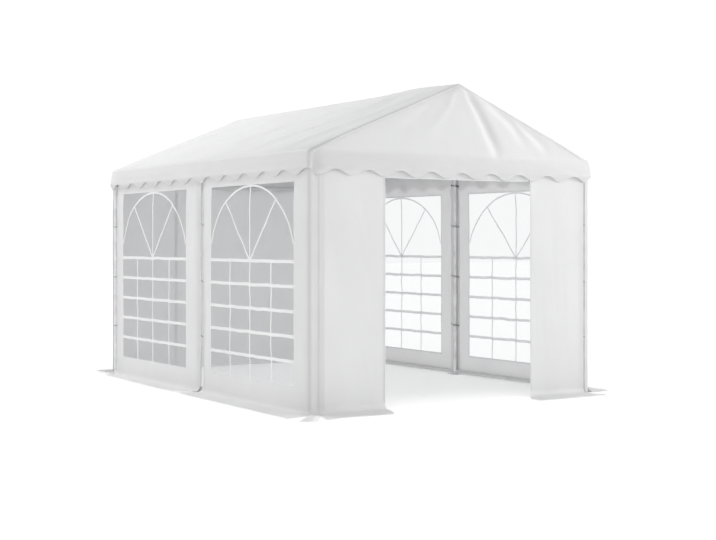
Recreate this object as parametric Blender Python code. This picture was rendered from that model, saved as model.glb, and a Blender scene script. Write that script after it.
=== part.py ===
"""Marquee tent, 3 m wide and 4 m long, of white coated fabric on a steel tube frame.

Metres, +Z up. The origin is on the ground in the middle of the tent. The doorway is at -Y,
and the windows are in the two long sides, at -X and +X.
"""
import math

import bmesh
import bpy
from mathutils import Matrix, Vector

# The frame: distances between post centres, and heights of the tubes' centre lines
TENT_WIDTH = 3.0
TENT_LENGTH = 4.0
EAVE_HEIGHT = 2.143
RIDGE_HEIGHT = 2.756
GABLE_TIE_HEIGHT = 2.005
GROUND_BAR_HEIGHT = 0.03
TUBE_RADIUS = 0.019
SLEEVE_RADIUS = 0.021
SLEEVE_LENGTH = 0.11
TUBE_SIDES = 16
FOOT_PLATE_WIDTH = 0.12
FOOT_PLATE_THICKNESS = 0.005

# Edges sharper than this stay sharp on a round bar, and are rounded on the roof cover
ROUND_BAR_ANGLE = math.radians(40)
COVER_EDGE_ANGLE = math.radians(60)

# The fabric: solid thickness, and the gap that touching pieces keep
FABRIC_THICKNESS = 0.003
FILM_THICKNESS = 0.001
GAP = 0.0003

# The roof cover's hanging edge
VALANCE_LOW = 1.952
VALANCE_NOTCH = 2.003
VALANCE_FLARE = 0.02
SIDE_SCALLOP_LENGTH = 0.348
SIDE_NOTCH = -2.004
GABLE_SCALLOP_LENGTH = 0.325
GABLE_NOTCH = 0.02
SCALLOP_STEPS = 8
COVER_ROUNDING = 0.014
COVER_ROUNDING_STEPS = 3

# The walls, their windows and the doorway. Each window panel has its start, its window's middle and its end
WALL_TOP = 2.14
SIDE_PANELS = {
    ("left", "front"): (-2.008, -1.042, -0.114),
    ("left", "rear"): (-0.074, 0.982, 1.9),
    ("right", "front"): (-2.008, -0.96, 0.02),
    ("right", "rear"): (0.06, 1.035, 2.008),
}
END_WALL_SET_BACK = 0.035
WINDOW_WIDTH = 1.5
WINDOW_LOW = 0.206
WINDOW_HIGH = 1.9
DOOR_LEFT = -0.78
DOOR_RIGHT = 0.81
DOOR_HIGH = 1.944

# The walls' lower hem, which bends outwards and lies on the ground
HEM_BEND_RADIUS = 0.1
HEM_BEND_STEPS = 5
SIDE_SKIRT = 0.25
END_SKIRT = 0.32
SKIRT_CORNER_CUT = 0.08
SIDE_SKIRT_SPLAY = 0.13
END_SKIRT_SPLAY = 0.3
CORNER_CUT_SPLAY = 0.185
DOOR_SKIRT_TAPER = 0.1

HALF_WIDTH = TENT_WIDTH / 2
HALF_LENGTH = TENT_LENGTH / 2
ROOF_PITCH = math.atan2(RIDGE_HEIGHT - EAVE_HEIGHT, HALF_WIDTH)
WALL_OFFSET = SLEEVE_RADIUS + GAP
COVER_OFFSET = WALL_OFFSET + FABRIC_THICKNESS + GAP
SIDES = {"left": -1, "right": 1}
FRAMES = {"front": -HALF_LENGTH, "mid": 0.0, "rear": HALF_LENGTH}


def clear_scene():
    for item in list(bpy.data.objects):
        bpy.data.objects.remove(item, do_unlink=True)


def make_material(name, color, roughness, metallic=0.0, alpha=1.0):
    material = bpy.data.materials.new(name)
    material.use_nodes = True
    shader = material.node_tree.nodes["Principled BSDF"]
    shader.inputs["Base Color"].default_value = (*color, 1.0)
    shader.inputs["Roughness"].default_value = roughness
    shader.inputs["Metallic"].default_value = metallic
    shader.inputs["Alpha"].default_value = alpha
    return material


def add_object(name, shape, material, matrix=None):
    """Turns a bmesh into a named object with its own copy of the material."""
    mesh = bpy.data.meshes.new(name)
    shape.to_mesh(mesh)
    shape.free()
    item = bpy.data.objects.new(name, mesh)
    own = material.copy()
    own.name = name + "_" + material.name
    mesh.materials.append(own)
    bpy.context.scene.collection.objects.link(item)
    if matrix is not None:
        item.matrix_world = matrix
    return item


def placed_along(start, direction):
    """Places a shape that runs up from its own origin so that it runs from start in a direction."""
    turn = Vector((0, 0, 1)).rotation_difference(Vector(direction).normalized())
    return Matrix.Translation(start) @ turn.to_matrix().to_4x4()


def round_bar(length, radius):
    """A bar that runs up +Z from the origin."""
    shape = bmesh.new()
    bmesh.ops.create_cone(shape, cap_ends=True, segments=TUBE_SIDES, radius1=radius, radius2=radius,
                          depth=length, matrix=Matrix.Translation((0, 0, length / 2)))
    return shape


def smooth_round(item):
    item.data.shade_smooth()
    item.data.set_sharp_from_angle(angle=ROUND_BAR_ANGLE)


def add_tube(name, start, end, material):
    """A straight tube between two points, shortened by the gap at each end."""
    start, end = Vector(start), Vector(end)
    along = (end - start).normalized()
    tube = add_object(name, round_bar((end - start).length - 2 * GAP, TUBE_RADIUS), material,
                      placed_along(start + along * GAP, along))
    smooth_round(tube)
    return tube


def add_helper(name, shape, matrix=None):
    """A shape that only serves a Boolean modifier and isn't part of the tent."""
    mesh = bpy.data.meshes.new(name)
    shape.to_mesh(mesh)
    shape.free()
    helper = bpy.data.objects.new(name, mesh)
    bpy.context.scene.collection.objects.link(helper)
    if matrix is not None:
        helper.matrix_world = matrix
    helper.hide_render = True
    helper.display_type = "WIRE"
    return helper


def join_helper(item, helper):
    union = item.modifiers.new(helper.name, "BOOLEAN")
    union.operation = "UNION"
    union.object = helper


def rafter_direction(side):
    """From an eave up to the ridge."""
    return Vector((-side * math.cos(ROOF_PITCH), 0, math.sin(ROOF_PITCH)))


def eave_point(side, y):
    return Vector((side * HALF_WIDTH, y, EAVE_HEIGHT))


def ridge_point(y):
    return Vector((0, y, RIDGE_HEIGHT))


def add_posts(material):
    """Each post has a square foot plate welded under it."""
    for side_name, side in SIDES.items():
        for frame_name, y in FRAMES.items():
            name = f"post_{side_name}_{frame_name}"
            plate = bmesh.new()
            bmesh.ops.create_cube(plate, size=1.0)
            bmesh.ops.scale(plate, verts=plate.verts,
                            vec=(FOOT_PLATE_WIDTH, FOOT_PLATE_WIDTH, FOOT_PLATE_THICKNESS))
            bmesh.ops.translate(plate, verts=plate.verts, vec=(0, 0, FOOT_PLATE_THICKNESS / 2))
            foot = Matrix.Translation((side * HALF_WIDTH, y, 0))
            post = add_object(name, plate, material, foot)
            bar_low = FOOT_PLATE_THICKNESS / 2
            bar_length = EAVE_HEIGHT - SLEEVE_LENGTH - GAP - bar_low
            bar = add_helper(name + "_bar", round_bar(bar_length, TUBE_RADIUS),
                             foot @ Matrix.Translation((0, 0, bar_low)))
            join_helper(post, bar)


def add_joint(name, centre, directions, material):
    """A welded fitting whose sleeves take the ends of the tubes that meet at a point."""
    ball = bmesh.new()
    bmesh.ops.create_uvsphere(ball, u_segments=TUBE_SIDES, v_segments=TUBE_SIDES // 2,
                              radius=SLEEVE_RADIUS)
    joint = add_object(name, ball, material, Matrix.Translation(centre))
    for number, direction in enumerate(directions):
        sleeve = add_helper(f"{name}_sleeve_{number}", round_bar(SLEEVE_LENGTH, SLEEVE_RADIUS),
                            placed_along(centre, direction))
        join_helper(joint, sleeve)


def lengthwise_directions(frame_name):
    """The directions in which tubes run on along the tent from one of its three frames."""
    forwards, backwards = Vector((0, 1, 0)), Vector((0, -1, 0))
    return {"front": [forwards], "mid": [forwards, backwards], "rear": [backwards]}[frame_name]


def add_joints(material):
    for frame_name, y in FRAMES.items():
        runs = lengthwise_directions(frame_name)
        for side_name, side in SIDES.items():
            add_joint(f"eave_joint_{side_name}_{frame_name}", eave_point(side, y),
                      [Vector((0, 0, -1)), rafter_direction(side), *runs], material)
        slopes = [-rafter_direction(side) for side in SIDES.values()]
        add_joint(f"ridge_joint_{frame_name}", ridge_point(y), [*slopes, *runs], material)


def add_roof_tubes(material):
    for side_name, side in SIDES.items():
        up = rafter_direction(side)
        for frame_name, y in FRAMES.items():
            add_tube(f"rafter_{side_name}_{frame_name}", eave_point(side, y) + up * SLEEVE_LENGTH,
                     ridge_point(y) - up * SLEEVE_LENGTH, material)
    reach = Vector((0, SLEEVE_LENGTH, 0))
    for bay_name, near, far in (("front", "front", "mid"), ("rear", "mid", "rear")):
        for side_name, side in SIDES.items():
            add_tube(f"eave_beam_{side_name}_{bay_name}", eave_point(side, FRAMES[near]) + reach,
                     eave_point(side, FRAMES[far]) - reach, material)
        add_tube(f"ridge_beam_{bay_name}", ridge_point(FRAMES[near]) + reach,
                 ridge_point(FRAMES[far]) - reach, material)


def add_low_tubes(material):
    """Bars between the feet under the window walls, and a tie across each gable."""
    for side_name, side in SIDES.items():
        for bay_name, near, far in (("front", "front", "mid"), ("rear", "mid", "rear")):
            x = side * HALF_WIDTH
            add_tube(f"ground_bar_{side_name}_{bay_name}",
                     (x, FRAMES[near] + TUBE_RADIUS, GROUND_BAR_HEIGHT),
                     (x, FRAMES[far] - TUBE_RADIUS, GROUND_BAR_HEIGHT), material)
    reach = HALF_WIDTH - TUBE_RADIUS
    y_tie = HALF_LENGTH + SLEEVE_RADIUS - TUBE_RADIUS
    for end_name, end in (("front", -1), ("rear", 1)):
        add_tube(f"gable_tie_{end_name}", (-reach, end * y_tie, GABLE_TIE_HEIGHT),
                 (reach, end * y_tie, GABLE_TIE_HEIGHT), material)


def face_outwards(shape, outward):
    """Turns a sheet's faces so that they look the way of outward."""
    shape.normal_update()
    if sum(face.normal.dot(outward(face.calc_center_median())) for face in shape.faces) < 0:
        bmesh.ops.reverse_faces(shape, faces=shape.faces)


def thicken(item, thickness):
    """Gives a sheet its thickness on the side that its faces look to."""
    solid = item.modifiers.new("thickness", "SOLIDIFY")
    solid.thickness = thickness
    solid.offset = 1.0
    solid.use_even_offset = True


def add_grid_sheet(name, rows, holes, outward, material):
    """A sheet of fabric through rows of points. holes lists the (row, column) cells left open."""
    shape = bmesh.new()
    corners = [[shape.verts.new(point) for point in row] for row in rows]
    for r in range(len(rows) - 1):
        for c in range(len(rows[r]) - 1):
            if (r, c) not in holes:
                shape.faces.new((corners[r][c], corners[r][c + 1],
                                 corners[r + 1][c + 1], corners[r + 1][c]))
    face_outwards(shape, lambda centre: outward)
    sheet = add_object(name, shape, material)
    thicken(sheet, FABRIC_THICKNESS)
    return sheet


def hem_profile(skirt):
    """Points (outwards, up) of a wall's inner face, from where it starts to bend to the skirt's edge."""
    points = []
    for step in range(HEM_BEND_STEPS + 1):
        angle = math.pi / 2 * step / HEM_BEND_STEPS
        points.append((HEM_BEND_RADIUS * (1 - math.cos(angle)),
                       HEM_BEND_RADIUS * (1 - math.sin(angle))))
    points.append((skirt - SKIRT_CORNER_CUT, 0.0))
    points.append((skirt, 0.0))
    return points


def on_side_wall(side):
    """Maps (along, out, up) on a long wall to a point in the tent."""
    return lambda along, out, up: Vector((side * (HALF_WIDTH + WALL_OFFSET + out), along, up))


def on_end_wall(end):
    return lambda along, out, up: Vector((along, end * (HALF_LENGTH + WALL_OFFSET + out), up))


def side_wall_rows(place, start, middle, end, corner_end):
    """Rows of a window wall from top to skirt. The skirt spreads at the tent's corner."""
    columns = [start, middle - WINDOW_WIDTH / 2, middle + WINDOW_WIDTH / 2, end]
    levels = [(0.0, WALL_TOP), (0.0, WINDOW_HIGH), (0.0, WINDOW_LOW), *hem_profile(SIDE_SKIRT)]
    rows = []
    for out, up in levels:
        spread = SIDE_SKIRT_SPLAY * out / SIDE_SKIRT * corner_end
        shifts = [spread if corner_end < 0 else 0.0, 0.0, 0.0, spread if corner_end > 0 else 0.0]
        rows.append([place(along + shift, out, up) for along, shift in zip(columns, shifts)])
    return rows


def add_side_walls(fabric, film):
    """Two panels on each long side, each with a window that a clear film closes."""
    for (side_name, bay_name), (start, middle, end) in SIDE_PANELS.items():
        side = SIDES[side_name]
        corner_end = -1 if bay_name == "front" else 1
        rows = side_wall_rows(on_side_wall(side), start, middle, end, corner_end)
        add_grid_sheet(f"side_wall_{side_name}_{bay_name}", rows, {(1, 1)}, Vector((side, 0, 0)), fabric)
        add_film(f"window_{side_name}_{bay_name}", side, middle, film)


def add_film(name, side, middle, film):
    """A clear film that fills a window, in the middle of the fabric's thickness."""
    shape = bmesh.new()
    bmesh.ops.create_cube(shape, size=1.0)
    bmesh.ops.scale(shape, verts=shape.verts,
                    vec=(FILM_THICKNESS, WINDOW_WIDTH - 2 * GAP, WINDOW_HIGH - WINDOW_LOW - 2 * GAP))
    x = side * (HALF_WIDTH + WALL_OFFSET + FABRIC_THICKNESS / 2)
    add_object(name, shape, film, Matrix.Translation((x, middle, (WINDOW_HIGH + WINDOW_LOW) / 2)))


def end_wall_rows(place, left, right, left_at_corner, right_at_corner):
    """Rows of a plain end wall. Its skirt spreads at the tent's corners and tapers at the doorway."""
    rows = [[place(left, 0.0, WALL_TOP), place(right, 0.0, WALL_TOP)]]
    cut_out = END_SKIRT - SKIRT_CORNER_CUT
    for out, up in hem_profile(END_SKIRT):
        spread = END_SKIRT_SPLAY * out / cut_out if out <= cut_out else CORNER_CUT_SPLAY
        taper = DOOR_SKIRT_TAPER * out / END_SKIRT
        first = left - (spread if left_at_corner else taper)
        last = right + (spread if right_at_corner else -taper)
        rows.append([place(first, out, up), place(last, out, up)])
    return rows


def add_end_walls(fabric):
    edge = HALF_WIDTH - END_WALL_SET_BACK
    front, rear = on_end_wall(-1), on_end_wall(1)
    forwards, backwards = Vector((0, -1, 0)), Vector((0, 1, 0))
    add_grid_sheet("front_wall_left", end_wall_rows(front, -edge, DOOR_LEFT, True, False), (),
                   forwards, fabric)
    add_grid_sheet("front_wall_right", end_wall_rows(front, DOOR_RIGHT, edge, False, True), (),
                   forwards, fabric)
    header = [[front(DOOR_LEFT + GAP, 0.0, up), front(DOOR_RIGHT - GAP, 0.0, up)]
              for up in (WALL_TOP, DOOR_HIGH)]
    add_grid_sheet("door_header", header, (), forwards, fabric)
    add_grid_sheet("rear_wall", end_wall_rows(rear, -edge, edge, True, True), (), backwards, fabric)


def scallop_height(along, length, notch):
    """Height of the valance's wavy edge, which has a notch at one given place and every length from it."""
    wave = math.cos(2 * math.pi * (along - notch) / length)
    middle = (VALANCE_LOW + VALANCE_NOTCH) / 2
    return middle + (VALANCE_NOTCH - VALANCE_LOW) / 2 * wave


def spaced(low, high, step):
    """Even positions between two ends, without the ends."""
    count = max(2, round((high - low) / step))
    return [low + (high - low) * number / count for number in range(1, count)]


def add_roof_cover(material):
    """The roof, both gables and the scalloped valance are one sewn cover."""
    rise = WALL_OFFSET / math.cos(ROOF_PITCH)
    x_edge = HALF_WIDTH + COVER_OFFSET
    y_edge = HALF_LENGTH + COVER_OFFSET
    eave_z = EAVE_HEIGHT + rise - COVER_OFFSET * math.tan(ROOF_PITCH)
    corner_z = {end: scallop_height(end * y_edge, SIDE_SCALLOP_LENGTH, SIDE_NOTCH) for end in (-1, 1)}

    def flare(z):
        """How far the valance stands out at a height below the eave."""
        return VALANCE_FLARE * (eave_z - z) / (eave_z - VALANCE_LOW)

    shape = bmesh.new()
    both = (-1, 1)
    ridge = {end: shape.verts.new((0, end * y_edge, RIDGE_HEIGHT + rise)) for end in both}
    eave = {(side, end): shape.verts.new((side * x_edge, end * y_edge, eave_z))
            for side in both for end in both}
    stand_out = {end: flare(corner_z[end]) for end in both}
    corner = {(side, end): shape.verts.new((side * (x_edge + stand_out[end]),
                                            end * (y_edge + stand_out[end]), corner_z[end]))
              for side in both for end in both}
    for side in both:
        shape.faces.new((eave[side, -1], eave[side, 1], ridge[1], ridge[-1]))
        wave = []
        for y in spaced(-y_edge - stand_out[-1], y_edge + stand_out[1], SIDE_SCALLOP_LENGTH / SCALLOP_STEPS):
            z = scallop_height(y, SIDE_SCALLOP_LENGTH, SIDE_NOTCH)
            wave.append(shape.verts.new((side * (x_edge + flare(z)), y, z)))
        shape.faces.new((eave[side, -1], corner[side, -1], *wave, corner[side, 1], eave[side, 1]))
    for end in both:
        shape.faces.new((ridge[end], eave[-1, end], eave[1, end]))
        wave = []
        x_low = x_edge + stand_out[end]
        for x in spaced(-x_low, x_low, GABLE_SCALLOP_LENGTH / SCALLOP_STEPS):
            z = scallop_height(x, GABLE_SCALLOP_LENGTH, GABLE_NOTCH)
            wave.append(shape.verts.new((x, end * (y_edge + flare(z)), z)))
        shape.faces.new((eave[-1, end], corner[-1, end], *wave, corner[1, end], eave[1, end]))
    bmesh.ops.recalc_face_normals(shape, faces=shape.faces)
    inside = Vector((0, 0, VALANCE_LOW))
    face_outwards(shape, lambda point: point - inside)
    cover = add_object("roof_cover", shape, material)
    rounding = cover.modifiers.new("rounded edges", "BEVEL")
    rounding.width = COVER_ROUNDING
    rounding.segments = COVER_ROUNDING_STEPS
    rounding.limit_method = "ANGLE"
    rounding.angle_limit = COVER_EDGE_ANGLE
    thicken(cover, FABRIC_THICKNESS)


def main():
    clear_scene()
    steel = make_material("galvanised_steel", (0.56, 0.57, 0.58), 0.38, metallic=1.0)
    roof_fabric = make_material("roof_fabric", (0.87, 0.87, 0.87), 0.5)
    wall_fabric = make_material("wall_fabric", (0.84, 0.84, 0.85), 0.5)
    clear_film = make_material("clear_film", (0.9, 0.92, 0.94), 0.08, alpha=0.15)
    add_posts(steel)
    add_joints(steel)
    add_roof_tubes(steel)
    add_low_tubes(steel)
    add_side_walls(wall_fabric, clear_film)
    add_end_walls(wall_fabric)
    add_roof_cover(roof_fabric)


main()
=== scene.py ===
"""Marquee tent: coated fabric, clear windows, hems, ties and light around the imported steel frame."""
import math

import bmesh
import bpy
import numpy as np
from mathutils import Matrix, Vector


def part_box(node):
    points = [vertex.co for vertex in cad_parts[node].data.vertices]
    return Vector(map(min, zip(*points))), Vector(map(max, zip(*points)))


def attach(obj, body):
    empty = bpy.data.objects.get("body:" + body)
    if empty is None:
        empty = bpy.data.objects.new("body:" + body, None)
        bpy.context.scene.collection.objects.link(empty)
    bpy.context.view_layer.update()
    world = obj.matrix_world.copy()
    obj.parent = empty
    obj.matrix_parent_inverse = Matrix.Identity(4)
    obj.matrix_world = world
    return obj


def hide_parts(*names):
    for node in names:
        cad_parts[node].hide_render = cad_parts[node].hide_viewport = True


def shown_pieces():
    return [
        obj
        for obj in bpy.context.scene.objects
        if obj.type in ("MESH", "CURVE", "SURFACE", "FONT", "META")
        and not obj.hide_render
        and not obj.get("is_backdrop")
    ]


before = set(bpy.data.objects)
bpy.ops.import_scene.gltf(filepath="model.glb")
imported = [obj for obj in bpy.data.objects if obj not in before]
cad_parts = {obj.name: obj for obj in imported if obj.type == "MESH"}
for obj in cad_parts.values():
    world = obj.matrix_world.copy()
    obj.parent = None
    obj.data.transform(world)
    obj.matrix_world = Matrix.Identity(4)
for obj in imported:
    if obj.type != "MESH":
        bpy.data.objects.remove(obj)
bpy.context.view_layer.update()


def middle(node):
    low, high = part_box(node)
    return [(a + b) / 2 for a, b in zip(low, high)]


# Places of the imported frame. Lengths are metres throughout
HALF_WIDTH = middle("post_right_front")[0]
HALF_LENGTH = middle("post_right_rear")[1]
EAVE_HEIGHT = middle("eave_beam_right_front")[2]
RIDGE_HEIGHT = middle("ridge_beam_front")[2]
TIE_PLACE, TIE_TUBE_HEIGHT = abs(middle("gable_tie_front")[1]), middle("gable_tie_front")[2]
TUBE_RADIUS = RIDGE_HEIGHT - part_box("ridge_beam_front")[0][2]
SLEEVE_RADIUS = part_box("ridge_joint_mid")[1][2] - RIDGE_HEIGHT
WALL_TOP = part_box("side_wall_left_front")[1][2]
WALL_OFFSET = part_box("side_wall_right_front")[0][0] - HALF_WIDTH
WINDOW_LOW, WINDOW_HIGH = (corner[2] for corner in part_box("window_left_front"))
WINDOW_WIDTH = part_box("window_left_front")[1][1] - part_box("window_left_front")[0][1]
DOOR_LEFT, DOOR_RIGHT = (corner[0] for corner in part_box("door_header"))
DOOR_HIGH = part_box("door_header")[0][2]
VALANCE_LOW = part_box("roof_cover")[0][2]
PITCH = math.atan2(RIDGE_HEIGHT - EAVE_HEIGHT, HALF_WIDTH)
SIDES = {"left": -1, "right": 1}
ENDS = {"front": -1, "rear": 1}
FRAMES = {"front": -HALF_LENGTH, "mid": 0.0, "rear": HALF_LENGTH}
BAYS = [(side_name, side, bay) for side_name, side in SIDES.items() for bay in ("front", "rear")]

# The cloth. A cell is the widest step of its grids, a skin the gap between two layers
CLOTH = 0.0008
FILM = 0.0005
CELL = 0.025
SKIN = 0.0002


def bell(distance, width):
    return np.exp(-(distance / width) ** 2)


def ease(value, low, high):
    """Rises smoothly from 0 at low to 1 at high."""
    t = np.clip((np.asarray(value, float) - low) / (high - low), 0, 1)
    return t * t * (3 - 2 * t)


def fade(value, low, high):
    """Falls smoothly from 1 at low to 0 at high."""
    return 1 - ease(value, low, high)


def unit(vectors):
    return vectors / np.linalg.norm(vectors, axis=-1, keepdims=True)


def steps(*stops):
    """Positions between stops, at most a cell apart, that hold every stop."""
    parts = []
    for low, high in zip(stops, stops[1:]):
        count = max(1, math.ceil((high - low) / CELL))
        parts.append(np.linspace(low, high, count, endpoint=False))
    return np.concatenate([*parts, [stops[-1]]])


def folds(along, across, seed, lengths, lean=0.12):
    """Soft folds between -1 and 1 that run across and repeat along."""
    rng = np.random.default_rng(seed)
    total = np.zeros(np.broadcast(along, across).shape)
    for length in lengths:
        start, swell = rng.uniform(0, 2 * math.pi, 2)
        tilt, slow = rng.uniform(-lean, lean), rng.uniform(0.5, 1.3)
        total += (np.sin(2 * math.pi * (along + tilt * across) / length + start)
                  * (0.65 + 0.35 * np.sin(math.pi * slow * across + swell)))
    return total / len(lengths)


def crease(points, path, width):
    """1 on a path through the cloth and 0 away from it, faded towards the path's ends."""
    path = np.asarray(path, float)
    nearest = np.full(len(points), np.inf)
    place = np.zeros(len(points))
    for number, (start, end) in enumerate(zip(path, path[1:])):
        run = end - start
        t = np.clip(((points - start) @ run) / (run @ run), 0, 1)
        distance = np.linalg.norm(points - (start + t[:, None] * run), axis=1)
        closer = distance < nearest
        nearest[closer] = distance[closer]
        place[closer] = (number + t[closer]) / (len(path) - 1)
    spread = width * (0.35 + 0.65 * place)
    return bell(nearest, spread) * ease(place, -0.1, 0.25) * fade(place, 0.6, 1.0)


# Materials

class Finish:
    """A material made of procedural nodes, placed by the piece's own coordinates."""

    def __init__(self, name):
        self.material = bpy.data.materials.new(name)
        self.material.use_nodes = True
        self.nodes, self.links = self.material.node_tree.nodes, self.material.node_tree.links
        self.shader = self.nodes["Principled BSDF"]
        self.place = self.add("TexCoord").outputs["Object"]

    def add(self, kind, **inputs):
        node = self.nodes.new("ShaderNode" + kind)
        self.feed(node, inputs)
        return node

    def feed(self, node, inputs):
        """Sets each input of a node to its value, or links it to its socket."""
        for name, value in inputs.items():
            if isinstance(value, bpy.types.NodeSocket):
                self.links.new(value, node.inputs[name])
            else:
                node.inputs[name].default_value = value

    def noise(self, scale, detail, stretch=(1, 1, 1)):
        place = self.add("Mapping", Vector=self.place, Scale=stretch).outputs["Vector"]
        return self.add("TexNoise", Vector=place, Scale=scale, Detail=detail).outputs["Fac"]

    def ramp(self, factor, low, high, low_at=0.3, high_at=0.7):
        node = self.add("ValToRGB", Fac=factor)
        for element, place, color in zip(node.color_ramp.elements, (low_at, high_at), (low, high)):
            element.position = place
            element.color = color
        return node.outputs["Color"]

    def bump(self, height, distance, strength, **before):
        node = self.add("Bump", Height=height, Distance=distance, Strength=strength, **before)
        return node.outputs["Normal"]

    def weave(self, pitch):
        """Threads along and across, as the coating lets them show."""
        total = None
        for direction in ("X", "Y", "Z"):
            wave = self.add("TexWave", Vector=self.place, Scale=0.314 / pitch, Distortion=0.3)
            wave.bands_direction = direction
            if total is None:
                total = wave.outputs["Fac"]
            else:
                both = self.add("Math")
                self.feed(both, {0: total, 1: wave.outputs["Fac"]})
                total = both.outputs["Value"]
        return total

    def mix(self, share, first, second):
        """Shows the shader first, with a share of the shader second."""
        mix = self.add("MixShader", Fac=share)
        self.feed(mix, {1: first.outputs["BSDF"], 2: second.outputs["BSDF"]})
        self.links.new(mix.outputs["Shader"], self.nodes["Material Output"].inputs["Surface"])


def grey(value, tint=0.0):
    return (value, value, value + tint, 1.0)


def coated_fabric(name, light, dark, see_through, rough=(0.4, 0.52)):
    """White coated polyester: faint weave, small crinkles, and light that comes through."""
    finish = Finish(name)
    color = finish.ramp(finish.noise(2.3, 5), grey(dark, 0.004), grey(light))
    crinkle = finish.bump(finish.noise(7.0, 5), 0.02, 0.12)
    grain = finish.bump(finish.noise(160, 3), 0.001, 0.12, Normal=crinkle)
    finish.feed(finish.shader, {
        "Base Color": color,
        "Roughness": finish.ramp(finish.noise(34, 4), grey(rough[0]), grey(rough[1])),
        "Specular IOR Level": 0.35,
        "Normal": finish.bump(finish.weave(0.0016), 0.0003, 0.12, Normal=grain)})
    finish.mix(see_through, finish.shader, finish.add("BsdfTranslucent", Color=color, Normal=crinkle))
    return finish.material


def clear_film():
    """Clear film that lets nearly all light pass, with a trace of gloss and haze."""
    finish = Finish("clear_window_film")
    finish.feed(finish.shader, {
        "Base Color": finish.ramp(finish.noise(3.0, 4), grey(0.84, 0.02), grey(0.92, 0.02)),
        "Roughness": finish.ramp(finish.noise(22, 3), grey(0.05), grey(0.12)),
        "Normal": finish.bump(finish.noise(5.0, 3, (1, 1, 0.45)), 0.01, 0.25)})
    finish.mix(0.01, finish.add("BsdfTransparent", Color=(0.954, 0.957, 0.959, 1)), finish.shader)
    return finish.material


def galvanised_steel():
    """Zinc spangle over a drawn tube, with dull patches."""
    finish = Finish("galvanised_tube")
    flakes = finish.add("TexVoronoi", Vector=finish.place, Scale=140)
    blend = finish.add("Mix")
    blend.data_type = "RGBA"
    blend.blend_type = "MULTIPLY"
    finish.feed(blend, {
        "Factor": 1.0,
        "A": finish.ramp(flakes.outputs["Distance"], grey(0.76, 0.01), grey(0.9, 0.01), 0.1, 0.8),
        "B": finish.ramp(finish.noise(9, 6), grey(0.78), grey(1.0))})
    finish.feed(finish.shader, {
        "Base Color": blend.outputs["Result"],
        "Metallic": 0.6,
        "Roughness": finish.ramp(finish.noise(45, 4), grey(0.32), grey(0.5)),
        "Normal": finish.bump(finish.noise(260, 2), 0.0005, 0.2)})
    return finish.material


def plain(name, value, rough, scale=120, metallic=0.0):
    """One even material with fine spots in its tone, gloss and surface."""
    finish = Finish(name)
    spots = finish.noise(scale, 3)
    finish.feed(finish.shader, {
        "Base Color": finish.ramp(spots, grey(value * 0.85), grey(value)),
        "Metallic": metallic,
        "Roughness": finish.ramp(spots, grey(rough * 0.85), grey(rough)),
        "Normal": finish.bump(spots, 0.0005, 0.15)})
    return finish.material


# Each finish's material and its slot in the record
FINISHES = {
    "roof": (coated_fabric("roof_cloth", 0.875, 0.855, 0.41), "roof_fabric"),
    "trim": (coated_fabric("trim_cloth", 0.9, 0.88, 0.4), "roof_fabric"),
    "wall": (coated_fabric("wall_cloth", 0.875, 0.855, 0.41), "wall_fabric"),
    "bars": (coated_fabric("window_bar_cloth", 0.94, 0.92, 0.4), "wall_fabric"),
    "tape": (coated_fabric("zip_tape", 0.82, 0.78, 0.2, (0.6, 0.75)), "wall_fabric"),
    "thread": (plain("white_thread", 0.86, 0.6, 900), "wall_fabric"),
    "zip": (plain("white_zip", 0.84, 0.4), "wall_fabric"),
    "film": (clear_film(), "clear_film"),
    "steel": (galvanised_steel(), "galvanised_steel"),
    "bolt": (plain("zinc_bolt", 0.6, 0.42, 300, metallic=0.9), "galvanised_steel"),
    "rubber": (plain("black_rubber", 0.035, 0.55), "tie_rubber"),
}


# Meshes

def add_piece(name, shape, finish, *nodes, smooth_angle=50):
    """A mesh that rides on the tent. shape is its points and faces, nodes are the solids it replaces."""
    points, faces = shape
    material, slot = FINISHES[finish]
    mesh = bpy.data.meshes.new(name)
    mesh.from_pydata([tuple(map(float, p)) for p in points], [], [tuple(map(int, f)) for f in faces])
    mesh.materials.append(material)
    mesh.shade_smooth()
    mesh.set_sharp_from_angle(angle=math.radians(smooth_angle))
    # A free edge stays sharp, so that the cloth's shading doesn't roll over at it
    used = np.empty(len(mesh.loops), int)
    mesh.loops.foreach_get("edge_index", used)
    for number in np.flatnonzero(np.bincount(used, minlength=len(mesh.edges)) == 1):
        mesh.edges[int(number)].use_edge_sharp = True
    item = bpy.data.objects.new(name, mesh)
    bpy.context.scene.collection.objects.link(item)
    if nodes:
        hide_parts(*nodes)
    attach(item, "root")
    return item


def thicken(item, thickness):
    """Adds the cloth's thickness on the inner side."""
    solid = item.modifiers.new("thickness", "SOLIDIFY")
    solid.thickness = thickness
    solid.offset = -1.0


def grid_faces(grid, start=0):
    """Quads of a grid of points stored row by row, kept in rows."""
    rows, columns = grid.shape[:2]
    r, c = np.meshgrid(np.arange(rows - 1), np.arange(columns - 1), indexing="ij")
    first = start + r * columns + c
    return np.stack([first, first + 1, first + columns + 1, first + columns], -1)


def add_sheet(name, grid, finish, thickness, outward, node, skip=False):
    """Cloth or film from a grid of points. outward is where its faces look, skip is true for open cells."""
    points, faces = grid.reshape(-1, 3), grid_faces(grid)
    faces = faces[np.broadcast_to(~np.asarray(skip), faces.shape[:2])]
    a, b, c = (points[faces[:, k]] for k in range(3))
    if (np.cross(b - a, c - a) * outward).sum() <= 0:
        faces = faces[:, ::-1]
    item = add_piece(name, (points, faces), finish, node)
    thicken(item, thickness)
    return item


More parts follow.
